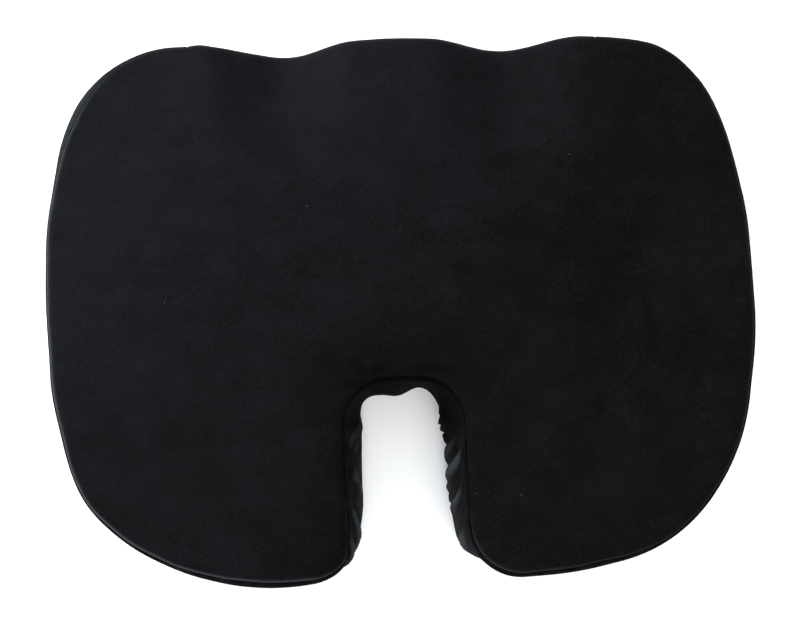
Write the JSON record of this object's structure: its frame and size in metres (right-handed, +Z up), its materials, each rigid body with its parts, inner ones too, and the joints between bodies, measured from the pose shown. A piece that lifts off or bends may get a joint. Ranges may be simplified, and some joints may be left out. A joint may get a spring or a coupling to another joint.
{
  "type": "seat cushion",
  "caption": "U-shaped foam seat cushion with leg recesses in its front edge, a tailbone notch at the back and a removable zipped velour cover.",
  "frame": {"origin": "on the floor plane, under the middle of the cushion's outline, which is the middle of its flat underside", "axes": "+X across the cushion, to the right of a sitter who faces +Y, +Y towards the front edge with the leg recesses, +Z up; the tailbone notch opens to -Y"},
  "size_m": [0.45, 0.3548, 0.07],
  "materials": {
    "foam": "matte open-cell foam",
    "velour": "short-pile velour, soft sheen at grazing angles",
    "base_cloth": "matte knit with small rubber grip dots",
    "zip_tape": "matte woven tape",
    "zip_nylon": "semi-gloss nylon",
    "zip_metal": "black enamel, semi-gloss"
  },
  "bodies": {
    "cushion": {"foam_core": "foam", "top_panel": "velour", "side_band": "velour", "front_band_upper": "velour", "front_band_lower": "velour", "base_panel": "base_cloth", "zip_tape_upper": "zip_tape", "zip_tape_lower": "zip_tape", "zip_coil_upper": "zip_nylon", "zip_coil_lower": "zip_nylon", "zip_top_stop_upper": "zip_nylon", "zip_top_stop_lower": "zip_nylon", "zip_bottom_stop": "zip_nylon"},
    "slider": {"zip_slider": "zip_metal"},
    "pull": {"zip_pull": "zip_metal"}
  },
  "joints": [
    {"name": "zip_slide", "type": "slide", "parent": "cushion", "child": "slider", "axis": [1, 0, 0], "range_m": [0, 0.2498], "deforming": ["zip_coil_upper", "zip_coil_lower"]},
    {"name": "pull_hinge", "type": "hinge", "parent": "slider", "child": "pull", "pos_m": [-0.12493, 0.178, 0.0255], "axis": [0, 0, 1], "range_deg": [0, 170]}
  ]
}
